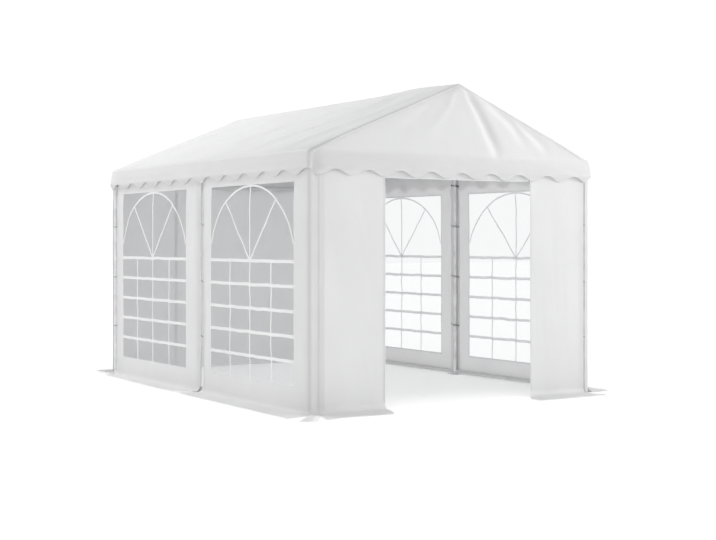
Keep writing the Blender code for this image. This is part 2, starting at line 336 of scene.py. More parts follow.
def ring_faces(rings, sides, closed=False, capped=True):
    """Quads between rings of the same number of points, stored ring by ring."""
    faces = []
    for i in range(rings if closed else rings - 1):
        j = (i + 1) % rings
        for k in range(sides):
            n = (k + 1) % sides
            faces.append((sides * i + k, sides * i + n, sides * j + n, sides * j + k))
    if capped and not closed:
        faces.append(tuple(range(sides))[::-1])
        faces.append(tuple(range(sides * (rings - 1), sides * rings)))
    return faces


def join_parts(parts):
    """One list of points and one of faces out of several."""
    points, faces = [], []
    for part_points, part_faces in parts:
        faces.extend([tuple(v + len(points) for v in face) for face in part_faces])
        points.extend(part_points)
    return points, faces


def circle(first, second, sides):
    """Directions round a circle, from first by way of second."""
    turns = 2 * math.pi * np.arange(sides) / sides
    return np.cos(turns)[:, None] * first + np.sin(turns)[:, None] * second


def square_to(axis):
    """The axis and two directions square to it."""
    axis = unit(np.asarray(axis, float))
    first = unit(np.cross(axis, np.eye(3)[np.argmin(np.abs(axis))]))
    return axis, first, np.cross(axis, first)


def sweep(path, radius, sides):
    """A round bar along a path."""
    path = np.asarray(path, float)
    run = unit(np.gradient(path, axis=0))
    guide = np.eye(3)[np.argmin(np.abs(run[0]))]
    rings = []
    for spot, way in zip(path, run):
        guide = unit(guide - way * (guide @ way))
        rings.append(spot + radius * circle(guide, np.cross(way, guide), sides))
    return np.concatenate(rings), ring_faces(len(path), sides)


def turned(profile, centre, axis, sides):
    """A turned shape. profile is a list of (radius, height along the axis), closed at both ends."""
    axis, first, second = square_to(axis)
    rings = [centre + axis * height + radius * circle(first, second, sides) for radius, height in profile]
    return np.concatenate(rings), ring_faces(len(profile), sides)


# How a wall hangs

# Its lower bend, and the length down the cloth where the skirt lies flat
BEND = 0.055
ARC_END = WALL_TOP - BEND + BEND * math.pi / 2
FLOOR_GAP = 0.0012
# A front bay's wall goes on round the corner post. Its skirt is cut at the corner
WRAP_RADIUS = WALL_OFFSET + CLOTH
WRAP_CUT = -HALF_LENGTH - WRAP_RADIUS * math.pi / 4
WRAP_END = -HALF_LENGTH - WRAP_RADIUS * math.pi / 2
CUT_HALF = 1e-4
STITCH, STITCH_PITCH, STITCH_WIDTH, STITCH_HEIGHT = 0.0045, 0.0075, 0.0009, 0.0004
# The lifts of a second layer of cloth, close behind a panel
BEHIND = (-2 * CLOTH - SKIN, -CLOTH - SKIN)


def still(along, other):
    return 0 * along


class Panel:
    """A hanging wall of cloth. It maps a place along the wall and a length down the cloth to a point.

    point places (along, spread, out, rise, up) in the tent. relief and shift move the cloth out and along,
    by place and height. spread moves the skirt along and lift_off raises it, by place and distance out."""

    def __init__(self, point, relief, shift=still, spread=still, lift_off=still):
        self.point, self.relief, self.shift = point, relief, shift
        self.spread, self.lift_off = spread, lift_off

    def at(self, along, down, lift=0.0):
        along, down = np.broadcast_arrays(np.asarray(along, float), np.asarray(down, float))
        turn = np.clip((down - (WALL_TOP - BEND)) / BEND, 0, math.pi / 2)
        flat = np.maximum(down - ARC_END, 0)
        out = BEND * (1 - np.cos(turn)) + flat
        height = WALL_TOP - down
        up = np.where(turn > 0, BEND * (1 - np.sin(turn)), height)
        up = up + FLOOR_GAP * ease(down, 0, WALL_TOP) + self.lift_off(along, flat)
        rise = self.relief(along, height) + lift
        moved = along + self.shift(along, height)
        return self.point(moved, self.spread(along, out), out, rise * np.cos(turn), up + rise * np.sin(turn))


def side_point(side):
    def point(along, spread, out, rise, up):
        past = np.maximum(-HALF_LENGTH - along, 0)
        turn = np.minimum(past / WRAP_RADIUS, math.pi / 2)
        beyond = np.maximum(past - WRAP_RADIUS * math.pi / 2, 0)
        x = HALF_WIDTH + (WRAP_RADIUS + rise) * np.cos(turn) - beyond
        y = np.maximum(along, -HALF_LENGTH) - (WRAP_RADIUS + rise) * np.sin(turn)
        in_front = along < WRAP_CUT
        return np.stack([side * (x + np.where(in_front, spread, out)),
                         y + np.where(in_front, -out, spread), up], -1)
    return point


def end_point(end):
    def point(along, spread, out, rise, up):
        return np.stack([along + spread, end * (HALF_LENGTH + WALL_OFFSET + CLOTH + out + rise), up], -1)
    return point


def ribbon(panel, path, width, low, high):
    """A flat strip on a panel, along a path of (along, height) points, from lift low to lift high."""
    path = np.asarray(path, float)
    run = unit(np.gradient(path, axis=0))
    across = np.stack([-run[:, 1], run[:, 0]], -1) * width / 2
    rings = []
    for side, lift in ((1, low), (1, high), (-1, high), (-1, low)):
        spot = path + side * across
        rings.append(panel.at(spot[:, 0], WALL_TOP - spot[:, 1], lift))
    return np.stack(rings, 1).reshape(-1, 3), ring_faces(len(path), 4)


def line(start, end, wobble=0.0, seed=0, cell=CELL):
    """Points between two places on a panel, a cell apart, with a slight waver across the line."""
    start, end = np.asarray(start, float), np.asarray(end, float)
    run = end - start
    length = float(np.linalg.norm(run))
    t = np.linspace(0, 1, max(2, math.ceil(length / cell) + 1))
    across = np.array([-run[1], run[0]]) / length
    sway = folds(t * length, np.zeros_like(t), seed, (0.5, 0.31, 0.19)) * wobble
    sway *= np.sin(math.pi * t) ** 0.5
    return start + t[:, None] * run + sway[:, None] * across


def upright(panel, along, low, high, width, under, over, cell=CELL):
    """A flat strip that stands on a panel from height low to high, from lift under to lift over."""
    return ribbon(panel, line((along, low), (along, high), cell=cell), width, under, over)


def stitches(panel, path, lift):
    """Short threads, one after another along a path of (along, height) points."""
    lengths = np.concatenate([[0], np.cumsum(np.linalg.norm(np.diff(path, axis=0), axis=1))])
    parts = []
    for start in np.arange(0, lengths[-1] - STITCH, STITCH_PITCH):
        ends = [[np.interp(s, lengths, path[:, 0]), np.interp(s, lengths, path[:, 1])]
                for s in (start, start + STITCH)]
        parts.append(ribbon(panel, ends, STITCH_WIDTH, lift, lift + STITCH_HEIGHT))
    return parts


# Walls

# Each long wall's two edges. The front ones lie past the corner, on the gable side
SIDE_EDGES = {
    ("left", "front"): (WRAP_END - 0.085, -0.12),
    ("left", "rear"): (-0.068, 1.893),
    ("right", "front"): (WRAP_END - 0.026, 0.012),
    ("right", "rear"): (0.05, 1.985),
}
# Places along a long wall, and its skirt's width there
SKIRT_WIDTHS = ((-2.14, -1.48, -0.23, 0.63, 1.95), (0.262, 0.247, 0.223, 0.197, 0.13))
SKIRT_REACH = 0.26
SKIRT_ROWS = 8
# How far the flap past the corner reaches forward on the ground and sideways, at the corner and at its edge
FLAP_SKIRTS = {"left": ((0.29, -0.27), (0.365, -0.24)), "right": ((0.25, 0.015), (0.275, -0.03))}
CORNER_RADIUS = 0.2
HEM_WIDTH, HEM_INSET, HEM_END = 0.05, 0.004, 0.012
SEAM_INSET, SEAM_END = 0.006, 0.03
# The window's bars across and upright, how far they lap over the cloth, and the film behind it
WIDE_BAR, SLIM_BAR, BAR_LAP = 0.027, 0.016, 0.008
FILM_LAP, FILM_GAP = 0.015, 0.0003
PANE_ROWS = 5
TIE_HEIGHTS = (0.515, 1.03, 1.56, 1.99)
FRONT_LEFT_EDGE = -1.428
FRONT_RIGHT_EDGE = 1.455
REAR_REACH = 1.518
END_SKIRT = 0.325
# Each gable wall: its end of the tent, its edges, the arguments of its folds, how both ends of its skirt
# spread, the skirt's width by place, and its hemmed edges with the way inwards
END_WALLS = {
    "front_wall_left": (-1, (FRONT_LEFT_EDGE, DOOR_LEFT), (41, 0.004, FRONT_LEFT_EDGE),
                        ((-0.07, -0.1, -0.13), (-0.04, -0.08, -0.12)),
                        ((-1.43, -1.3, -1.1, -0.78), (0.345, 0.295, 0.31, 0.325)),
                        ((FRONT_LEFT_EDGE, 1),)),
    "front_wall_right": (-1, (DOOR_RIGHT, FRONT_RIGHT_EDGE), (47, 0.004, FRONT_RIGHT_EDGE),
                         ((-0.115, -0.12, -0.12), (-0.03, -0.05, -0.06)),
                         ((0.81, 1.1, 1.455), (0.285, 0.29, 0.28)),
                         ((FRONT_RIGHT_EDGE, -1),)),
    "rear_wall": (1, (-REAR_REACH, REAR_REACH), (53, 0.009),
                  ((-0.05, -0.08, -0.05), (0.05, 0.08, 0.05)),
                  ((-1.5, 0.0, 1.5), (0.3, 0.32, 0.3)),
                  ((-REAR_REACH, 1), (REAR_REACH, -1))),
}


def ties_near(height):
    """1 at the heights where a wall's edge is tied to the post, 0 between them."""
    return np.clip(sum(bell(height - tie_height, 0.12) for tie_height in TIE_HEIGHTS), 0, 1)


def hang(height):
    """0 where the valance holds the wall close to the frame, 1 below it."""
    return fade(height, 1.7, 1.97)


def side_relief(seed, start, end, curls):
    """Folds of a long wall. curls says how deep its two edges turn in."""
    def relief(along, height):
        edges = (along - start, end - along)
        free = hang(height)
        low = fade(height, 0.0, 0.5)
        soft = folds(along, height, seed, (0.55, 0.34, 0.21)) * 0.0045
        small = folds(along, height, seed + 1, (0.12, 0.083), 0.3) * 0.0014
        sag = 0.007 * np.sin(math.pi * np.clip(edges[0] / (end - start), 0, 1)) * (1 - low)
        bow = 0.005 * (1 - ties_near(height)) * (bell(edges[0], 0.06) + bell(edges[1], 0.06))
        pulled = 0.003 * (bell(edges[0] - 0.11, 0.05) + bell(edges[1] - 0.11, 0.05))
        total = (soft + small + pulled + bow + sag + 0.005) * free
        total = np.maximum(total + 0.002 * low * np.abs(folds(along, height, seed + 2, (0.4, 0.23))), 0)
        for edge, depth in zip(edges, curls):
            total -= depth * bell(np.maximum(edge, 0), 0.016) * ease(height, 0.02, 0.12) * free
        # The flap lies on the post and goes in behind the gable wall
        total *= ease(along, -HALF_LENGTH - 0.02, -HALF_LENGTH + 0.1)
        return total - CLOTH * ease(WRAP_END - 0.02 - along, 0, 0.05)
    return relief


def edge_shift(seed, start, end):
    """Slow waver along the wall, and edges that draw back between the ties. A corner post keeps its cloth."""
    def shift(along, height):
        waver = 0.004 * folds(height, along, seed, (0.9, 0.47, 0.29), 0.4) * hang(height)
        loose = (1 - ties_near(height)) * hang(height) * ease(height, 0.0, 0.3)
        drawn = 0.006 * loose * (bell(along - start, 0.07) - bell(end - along, 0.07))
        return (waver + drawn) * ease(along, -HALF_LENGTH + 0.02, -HALF_LENGTH + 0.12)
    return shift


def side_spread(side_name, bay, start, end, at_start, at_end):
    """How the skirt spreads. At a front corner both parts lean to the mitre where they leave the post."""
    (reach, sideways), (edge_reach, edge_sideways) = FLAP_SKIRTS[side_name]
    first = max(start, WRAP_CUT)

    def spread(along, out):
        ends = at_start * fade(along - first, 0.0, 0.6) + at_end * fade(end - along, 0.0, 0.6)
        usual = ends * out / SKIRT_REACH
        if bay == "rear":
            return usual
        flat = np.maximum(out - BEND, 0)
        bent = 0.95 * np.minimum(out, BEND)
        corner = (at_start * flat / (SKIRT_REACH - BEND) - at_start * out / SKIRT_REACH
                  - bent * ease(SKIRT_REACH - out, 0, 0.2))
        usual = usual + corner * fade(along - first, 0.0, 0.1)
        share = np.clip((WRAP_CUT - along) / (WRAP_CUT - start), 0, 1)
        goal = sideways + (edge_sideways - sideways) * share
        lean = -bent * (1 - 0.6 * share)
        flap = lean + (goal - lean) * flat / (reach + (edge_reach - reach) * share - BEND)
        return np.where(along < WRAP_CUT, flap * SIDES[side_name], usual)
    return spread


def side_skirt(side_name, bay, columns, start):
    """Width of a long wall's skirt in each column. A rear bay's skirt has a rounded corner at its start."""
    skirt = np.interp(columns, *SKIRT_WIDTHS)
    if bay == "rear":
        near = np.clip(CORNER_RADIUS - (columns - start), 0, CORNER_RADIUS)
        return skirt - (CORNER_RADIUS - np.sqrt(CORNER_RADIUS ** 2 - near ** 2))
    share = np.clip((WRAP_CUT - columns) / (WRAP_CUT - start), 0, 1)
    (reach, _), (edge_reach, _) = FLAP_SKIRTS[side_name]
    return np.where(columns < WRAP_CUT, reach + (edge_reach - reach) * share, skirt)


def window_bars(panel, centre):
    """Welded strips on the film: a tall arch with rays above five rows of four panes."""
    half = WINDOW_WIDTH / 2
    transom = WINDOW_LOW + 0.61 * (WINDOW_HIGH - WINDOW_LOW)
    row = (transom - WINDOW_LOW) / PANE_ROWS
    rise = WINDOW_HIGH - SLIM_BAR / 2 - transom
    reach = half * 1.015
    seed = int(100 * (centre + 5))
    wide, slim = [], []
    for number in range(PANE_ROWS):
        z = transom - number * row
        wide.append(line((centre - half - BAR_LAP, z), (centre + half + BAR_LAP, z), 0.006, seed + number))
    for number, a in enumerate((centre - half / 2, centre, centre + half / 2)):
        slim.append(line((a, WINDOW_LOW - BAR_LAP), (a, transom), 0.012, seed + 10 + number))
    low_angle = math.acos(min(1, (half - SLIM_BAR / 2) / reach))
    angles = np.linspace(low_angle, math.pi - low_angle, 110)
    ripple = 1 + 0.004 * folds(angles, np.zeros_like(angles), seed + 19, (0.7, 0.43))
    slim.append(np.stack([centre + reach * ripple * np.cos(angles), transom + rise * np.sin(angles)], -1))
    slim.append(line((centre, transom), (centre, WINDOW_HIGH - SLIM_BAR), 0.006, seed + 20))
    for side in (-1, 1):
        end = (centre + side * 0.6 * half, transom + 0.79 * rise)
        slim.append(line((centre, transom), end, 0.007, seed + 21 + side))
    under = -CLOTH - SKIN
    return join_parts([ribbon(panel, path, WIDE_BAR, under, 0.0004) for path in wide]
                      + [ribbon(panel, path, SLIM_BAR, under, 0.0001) for path in slim])


def add_hems(name, panel, edges):
    """A folded hem inside each free edge, sewn down with one row of stitches."""
    parts, threads = [], []
    for edge, inward in edges:
        centre = edge + inward * (HEM_INSET + HEM_WIDTH / 2)
        parts.append(upright(panel, centre, HEM_END, WALL_TOP - HEM_END, HEM_WIDTH, *BEHIND))
        seam = edge + inward * (HEM_INSET + HEM_WIDTH - SEAM_INSET)
        threads.extend(stitches(panel, line((seam, HEM_END), (seam, WALL_TOP - SEAM_END)), -SKIN / 2))
    return [add_piece(name + "_hems", join_parts(parts), "wall"),
            add_piece(name + "_stitches", join_parts(threads), "thread")]


def add_wall(name, panel, columns, skirt, stops, outward, hem_edges, open_cells=None):
    """A wall's cloth and hems. skirt is its width in each column, stops are the rows it has to hold."""
    arc = np.linspace(WALL_TOP - BEND, ARC_END, SKIRT_ROWS + 1)[1:]
    above = np.concatenate([steps(*stops), arc])
    flat = np.linspace(0, 1, SKIRT_ROWS + 1)[1:, None] * np.maximum(skirt - BEND, 0.004)
    down = np.vstack([np.repeat(above[:, None], len(columns), 1), ARC_END + flat])
    along = np.repeat(columns[None], len(down), 0)
    skip = open_cells(along, down) if open_cells else False
    wall = add_sheet(name + "_cloth", panel.at(along, down), "wall", CLOTH, outward, name, skip)
    return wall, add_hems(name, panel, hem_edges)


def add_side_wall(side_name, side, bay):
    """One bay of a long wall: cloth with a window, its film, bars and hems."""
    name, window = f"side_wall_{side_name}_{bay}", f"window_{side_name}_{bay}"
    start, end = SIDE_EDGES[side_name, bay]
    centre = middle(window)[1]
    low, high = centre - WINDOW_WIDTH / 2, centre + WINDOW_WIDTH / 2
    top, sill = WALL_TOP - WINDOW_HIGH, WALL_TOP - WINDOW_LOW
    seed = 10 * (2 + side) + (5 if bay == "rear" else 0)
    if bay == "front":
        curls, spreads = (0.0, 0.009), (-0.1 if side < 0 else -0.02, 0.09)
        columns = np.concatenate([
            np.linspace(start, WRAP_END, 5)[:-1], np.linspace(WRAP_END, WRAP_CUT - CUT_HALF, 7),
            np.linspace(WRAP_CUT + CUT_HALF, -HALF_LENGTH, 7)[:-1], steps(-HALF_LENGTH, low, high, end)])
        lift_off = still
    else:
        curls, spreads = (0.009, 0.0), (0.0, 0.05)
        columns = steps(start, low, high, end)

        def lift_off(along, flat):
            return 0.02 * fade(along - start, 0.0, 0.35) * ease(flat, 0.0, 0.12)

    def open_cells(along, down):
        """The window, and the cut in the skirt at the corner post."""
        a = (along[:-1, :-1] + along[1:, 1:]) / 2
        d = (down[:-1, :-1] + down[1:, 1:]) / 2
        cut = (np.diff(along[:-1], axis=1) < 3 * CUT_HALF) & (down[1:, :-1] > WALL_TOP - BEND + 1e-6)
        return (a > low) & (a < high) & (d > top) & (d < sill) | cut

    panel = Panel(side_point(side), side_relief(seed, start, end, curls), edge_shift(seed + 3, start, end),
                  side_spread(side_name, bay, start, end, *spreads), lift_off)
    skirt = side_skirt(side_name, bay, columns, start)
    # The right flap past the corner is narrower than a hem
    hem_edges = ((end, -1),) if (side_name, bay) == ("right", "front") else ((start, 1), (end, -1))
    wall, hems = add_wall(name, panel, columns, skirt, (0.0, top, sill, WALL_TOP - BEND), (side, 0, 0.3),
                          hem_edges, open_cells)
    along, down = np.meshgrid(steps(low - FILM_LAP, high + FILM_LAP), steps(top - FILM_LAP, sill + FILM_LAP))
    add_sheet(window + "_film", panel.at(along, down, -CLOTH - FILM_GAP), "film", FILM, (side, 0, 0), window)
    add_piece(window + "_bars", window_bars(panel, centre), "bars")
    return panel


def add_pocket(tube, start, end, gap, seed):
    """A sleeve of wall cloth that holds a tube, a gap wider than it."""
    start, end = np.asarray(start, float), np.asarray(end, float)
    length = float(np.linalg.norm(end - start))
    run = (end - start) / length
    upward = np.array((0, 0, 1))
    turns = np.linspace(0, 2 * math.pi, 17)[:-1]
    s, t = np.meshgrid(steps(0, length), turns, indexing="ij")
    radius = TUBE_RADIUS + gap
    swell = radius + 0.0006 * folds(s, t * radius, seed, (0.11, 0.07), 1.5)
    s, t, swell = s[..., None], t[..., None], swell[..., None]
    points = start + s * run + swell * (np.cos(t) * np.cross(upward, run) + np.sin(t) * upward)
    faces = ring_faces(len(points), len(turns), capped=False)
    pocket = add_piece(tube + "_pocket", (points.reshape(-1, 3), faces), "wall")
    thicken(pocket, 0.0006)
    return pocket


def add_side_walls():
    panels = {(side_name, bay): add_side_wall(side_name, side, bay) for side_name, side, bay in BAYS}
    for side_name, side, bay in BAYS:
        tube = f"ground_bar_{side_name}_{bay}"
        low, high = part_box(tube)
        height = (low[2] + high[2]) / 2
        start, end, gap = low[1] + 0.05, high[1] - 0.05, 0.0012
        pocket = add_pocket(tube, (side * HALF_WIDTH, start, height), (side * HALF_WIDTH, end, height), gap,
                            90 + side)
    return panels


def end_relief(seed, size, tight=None):
    """Soft hanging folds. tight is the place of an edge that lies close on the cloth behind it."""
    def relief(along, height):
        soft = folds(along, height, seed, (0.8, 0.5, 0.3), 0.3) * size
        small = folds(along, height, seed + 1, (0.13, 0.09), 0.4) * 0.0011
        total = np.maximum((soft + small + size + 0.001) * hang(height), 0)
        if tight is not None:
            total *= ease(np.abs(along - tight), 0.0, 0.25)
        return total + 0.0012
    return relief


def end_spread(start, stop, at_start, at_stop):
    """How the skirt spreads: each end's shift along at three distances out."""
    outs = (0, 0.15, 0.24, END_SKIRT)

    def spread(along, out):
        return (np.interp(out, outs, (0, *at_start)) * fade(along - start, 0.0, 0.45)
                + np.interp(out, outs, (0, *at_stop)) * fade(stop - along, 0.0, 0.45))
    return spread


def end_lift(along, flat):
    """The skirt lies on the long walls' skirts near the corners."""
    return FLOOR_GAP * ease(flat, -0.01, 0.03) * ease(np.abs(along), 1.15, 1.35)


def add_end_wall(name):
    end, (start, stop), relief, spreads, widths, hem_edges = END_WALLS[name]
    panel = Panel(end_point(end), end_relief(*relief), still, end_spread(start, stop, *spreads), end_lift)
    columns = steps(start, stop)
    wall, hems = add_wall(name, panel, columns, np.interp(columns, *widths), (0.0, WALL_TOP - BEND),
                          (0, end, 0.3), hem_edges)
    return panel


def add_zip(name, panel, place, low, high, sides=(1, -1)):
    """A row of teeth with a woven tape along one or both of its sides."""
    tape, tape_lift, tooth_pitch = 0.016, 0.0009, 0.006
    tapes = []
    for side in sides:
        for under, over in ((SKIN, tape_lift), (-2 * CLOTH - tape_lift, -2 * CLOTH - SKIN)):
            tapes.append(upright(panel, place + side * 0.009, low, high, tape, under, over))
    teeth = [upright(panel, place, low, high, 0.005, -0.0035, 0.0022, cell=0.012)]
    for number in range(int((high - low) / tooth_pitch)):
        z = low + tooth_pitch * (number + 0.5)
        teeth.append(ribbon(panel, [(place - 0.0035, z), (place + 0.0035, z)], 0.003, -0.0045, 0.003))
    add_piece(name + "_tape", join_parts(tapes), "tape")
    add_piece(name + "_teeth", join_parts(teeth), "zip")


def add_header():
    """The strip of wall over the doorway, between the two zips."""
    panel = Panel(end_point(-1), end_relief(61, 0.001))
    along, share = np.meshgrid(steps(DOOR_LEFT, DOOR_RIGHT), np.linspace(0, 1, 11))
    width = DOOR_RIGHT - DOOR_LEFT
    sag = 0.005 * np.sin(math.pi * (along - DOOR_LEFT) / width)
    step = 0.004 * (along < -0.44) - 0.03 * bell(DOOR_RIGHT - along, 0.022)
    grid = panel.at(along, share * (WALL_TOP - DOOR_HIGH + sag + step))
    header = add_sheet("door_header_cloth", grid, "wall", CLOTH, (0, -1, 0), "door_header")
    hem = line((DOOR_LEFT + 0.01, DOOR_HIGH + 0.012), (DOOR_RIGHT - 0.05, DOOR_HIGH + 0.012))
    hem_piece = add_piece("door_header_hem", ribbon(panel, hem, 0.018, *BEHIND), "wall")


def add_end_walls():
    """Both gables' walls on their ties: two panels and a header round the doorway, and the closed rear."""
    reach = HALF_WIDTH - 0.06
    pockets = [add_pocket(f"gable_tie_{end_name}", (-reach, end * TIE_PLACE, TIE_TUBE_HEIGHT),
                          (reach, end * TIE_PLACE, TIE_TUBE_HEIGHT), 0.0008, 80 + end)
               for end_name, end in ENDS.items()]
    left, right = add_end_wall("front_wall_left"), add_end_wall("front_wall_right")
    add_zip("front_zip_left", left, DOOR_LEFT - 0.003, 0.06, 1.95, (-1,))
    add_zip("front_zip_right", right, DOOR_RIGHT + 0.003, 0.06, 1.95, (1,))
    rear = add_end_wall("rear_wall")
    add_zip("rear_zip_left", rear, -0.78, 0.07, 1.93)
    add_zip("rear_zip_right", rear, 0.8, 0.07, 1.93)
    add_header()
    return left, right, rear


# Ties

# An eyelet's profile, (radius, height), sunk in the cloth
EYELET = ((0.0008, -0.0017), (0.0105, -0.0017), (0.0108, -0.0026), (0.0098, -0.0037), (0.0075, -0.0043),
          (0.0052, -0.0037), (0.0045, -0.0027), (0.0008, -0.0026))
# Its distance from the edge, and the step in height between the two ties that meet at a post
EYELET_INSET = 0.038
TIE_STEP = 0.012
# The cord's radius, and how far behind the cloth it starts and leads on
CORD_RADIUS, CORD_START, CORD_LEAD = 0.0022, 0.003, 0.007


def tie(panel, along, height, post, outward, towards, last):
    """An eyelet in a panel and the elastic cord from it round the post, as far as the angle last."""
    spot = panel.at(np.array([along]), np.array([WALL_TOP - height]))[0]
    outward, towards = np.array(outward, float), np.array(towards, float)
    centre = np.array((*post, spot[2]))
    radius = TUBE_RADIUS + CORD_RADIUS + SKIN
    start = spot - outward * CORD_START
    side, depth = (start - centre) @ towards, (start - centre) @ outward
    distance = math.hypot(side, depth)
    first = -math.pi / 3
    if distance > radius * 1.15:
        # Far enough out to meet the post along a tangent
        first = math.atan2(depth, side) - math.acos(radius / distance)
    turns = np.linspace(first, last, 26)[:, None]
    round_post = centre + radius * (np.cos(turns) * towards + np.sin(turns) * outward)
    lead = (spot - outward * CORD_LEAD) * 0.7 + round_post[0] * 0.3
    return [turned(EYELET, spot, outward, 20), sweep([start, lead, *round_post], CORD_RADIUS, 8)]


def add_ties(side_panels, end_panels):
    """Eyelets and elastic cords at every post, which hold the edges of the two walls that meet there."""
    left_front, right_front, rear = end_panels
    for side_name, side in SIDES.items():
        bays = [side_panels[side_name, bay] for bay in ("front", "rear")]
        front_end, (start, end) = SIDE_EDGES[side_name, "front"][1], SIDE_EDGES[side_name, "rear"]
        gable = ((left_front, FRONT_LEFT_EDGE + EYELET_INSET) if side < 0
                 else (right_front, FRONT_RIGHT_EDGE - EYELET_INSET))
        # The panel and place of each edge at a post of the long wall, with a step in height for the second
        edges = {
            "front": ((bays[0], -HALF_LENGTH + 0.06, 0), (*gable, TIE_STEP)),
            "mid": ((bays[0], front_end - EYELET_INSET, 0), (bays[1], start + EYELET_INSET, TIE_STEP)),
            "rear": ((bays[1], end - EYELET_INSET, TIE_STEP), (rear, side * (REAR_REACH - 0.08), 0)),
        }
        for frame_name, y in FRAMES.items():
            last = -math.pi + 0.6 if frame_name == "front" else -math.pi - 0.45
            parts = []
            for height in TIE_HEIGHTS:
                for panel, along, step in edges[frame_name]:
                    if panel in bays:
                        outward, towards = (side, 0, 0), (0, -1 if along < y else 1, 0)
                    else:
                        outward, towards = (0, ENDS[frame_name], 0), (-side, 0, 0)
                    parts += tie(panel, along, height + step, (side * HALF_WIDTH, y), outward, towards, last)
            add_piece(f"ties_{side_name}_{frame_name}", join_parts(parts), "rubber")


# Roof cover

COVER_LIFT = 0.0045
COVER_X = HALF_WIDTH + WALL_OFFSET + COVER_LIFT
COVER_Y = HALF_LENGTH + WALL_OFFSET + COVER_LIFT
COVER_TOP = RIDGE_HEIGHT + (WALL_OFFSET + COVER_LIFT - 0.002) / math.cos(PITCH)
COVER_EAVE = COVER_TOP - COVER_X * math.tan(PITCH)
EAVE_ROUND, RIDGE_ROUND, RAKE_ROUND, CORNER_ROUND = 0.034, 0.055, 0.011, 0.029
SCALLOP_DEPTH = 0.051
# Each scallop's length, and the place of one notch
SIDE_SCALLOPS = (0.348, -2.004)
GABLE_SCALLOPS = (0.325, 0.02)
VALANCE_ROWS, SLOPE_ROWS, ARC_STEPS, END_STEPS = 13, 60, 6, 6
# The row in the middle of the eave's rounding, where a gable meets the slopes
MEETING_ROW = VALANCE_ROWS + ARC_STEPS // 2
# The columns as shares of half the length, closest in the front half, where the folds are
SIDE_SHARES = np.concatenate([np.linspace(-1, 0.1, 140), np.linspace(0.1, 1, 62)[1:]])
# How far the valance stands off the frame, by height, smoothed
STAND_OUT = ((1.94, 1.952, 1.975, 2.004, 2.035, 2.08, 2.115, 2.14, 2.165),
             (0.006, 0.008, 0.016, 0.026, 0.0205, 0.0175, 0.01, 0.0055, 0.0))
STAND_OUT_HEIGHTS = np.arange(1.93, 2.2, 0.001)
SMOOTHING = np.exp(-(np.arange(-15, 16) / 6.0) ** 2)
STAND_OUT_SMOOTH = np.convolve(np.pad(np.interp(STAND_OUT_HEIGHTS, *STAND_OUT), 15, mode="edge"),
                               SMOOTHING / SMOOTHING.sum(), mode="valid")
# Deep grooves of the slope: their (down the slope, along) points, width to the rear and the front, and depth
SLOPE_GROOVES = (
    (((0.08, -1.72), (0.43, -1.7), (0.59, -1.67), (0.85, -1.57), (1.12, -1.49), (1.75, -1.49)),
     0.075, 0.035, 0.046),
    (((0.08, -1.15), (0.3, -1.22), (0.45, -1.22), (0.57, -1.15), (0.88, -0.9), (1.09, -0.82), (1.6, -0.7)),
     0.09, 0.04, 0.05),
    (((0.12, -0.75), (0.38, -0.63), (0.54, -0.36), (0.81, -0.08), (1.3, 0.25)), 0.08, 0.04, 0.036),
    (((0.7, 0.2), (0.97, 0.4), (1.2, 0.58), (1.7, 0.9)), 0.075, 0.04, 0.024),
    (((0.35, 0.55), (0.97, 0.98), (1.3, 1.1), (1.6, 1.2)), 0.075, 0.04, 0.024),
    (((0.12, 1.2), (0.41, 1.3), (0.95, 1.78), (1.3, 1.9)), 0.075, 0.04, 0.024),
)
# Smaller folds, as their points, width and depth: the slope's by (down, along), the gable's by (x, height)
SLOPE_FOLDS = (
    (((0.3, -1.45), (0.6, -1.37), (0.95, -1.23), (1.5, -1.05)), 0.045, 0.012),
    (((0.25, -0.95), (0.5, -0.9), (0.8, -0.6), (1.3, -0.3)), 0.05, 0.013),
)
GABLE_FOLDS = (
    (((0.06, 2.74), (0.11, 2.67), (0.22, 2.53), (0.34, 2.34), (0.43, 2.2), (0.47, 2.12)), 0.065, 0.03),
    (((0.3, 2.64), (0.42, 2.56), (0.58, 2.46), (0.7, 2.34), (0.84, 2.18)), 0.06, 0.013),
    (((0.62, 2.5), (0.72, 2.44), (0.92, 2.31), (1.07, 2.2)), 0.055, 0.011),
    (((-0.25, 2.62), (-0.5, 2.42), (-0.75, 2.22)), 0.06, 0.006),
)
GABLE_RIDGE = ((-0.05, 2.74), (-0.13, 2.57), (-0.27, 2.4), (-0.46, 2.2))
PIPING_RADIUS = 0.006


def scallop(along, length, notch):
    """Height of the valance's wavy edge, with a notch at one given place and every length from it."""
    turn = 2 * math.pi * (np.asarray(along, float) - notch) / length
    return VALANCE_LOW + SCALLOP_DEPTH * (1 + np.cos(turn)) / 2


def stand_out(z):
    return np.interp(z, STAND_OUT_HEIGHTS, STAND_OUT_SMOOTH)


def arc(centre, radius, start, end, count):
    """Points of (out, z) on an arc from the angle start to the angle end."""
    angles = np.linspace(start, end, count)
    return centre + radius * np.stack([np.cos(angles), np.sin(angles)], -1)


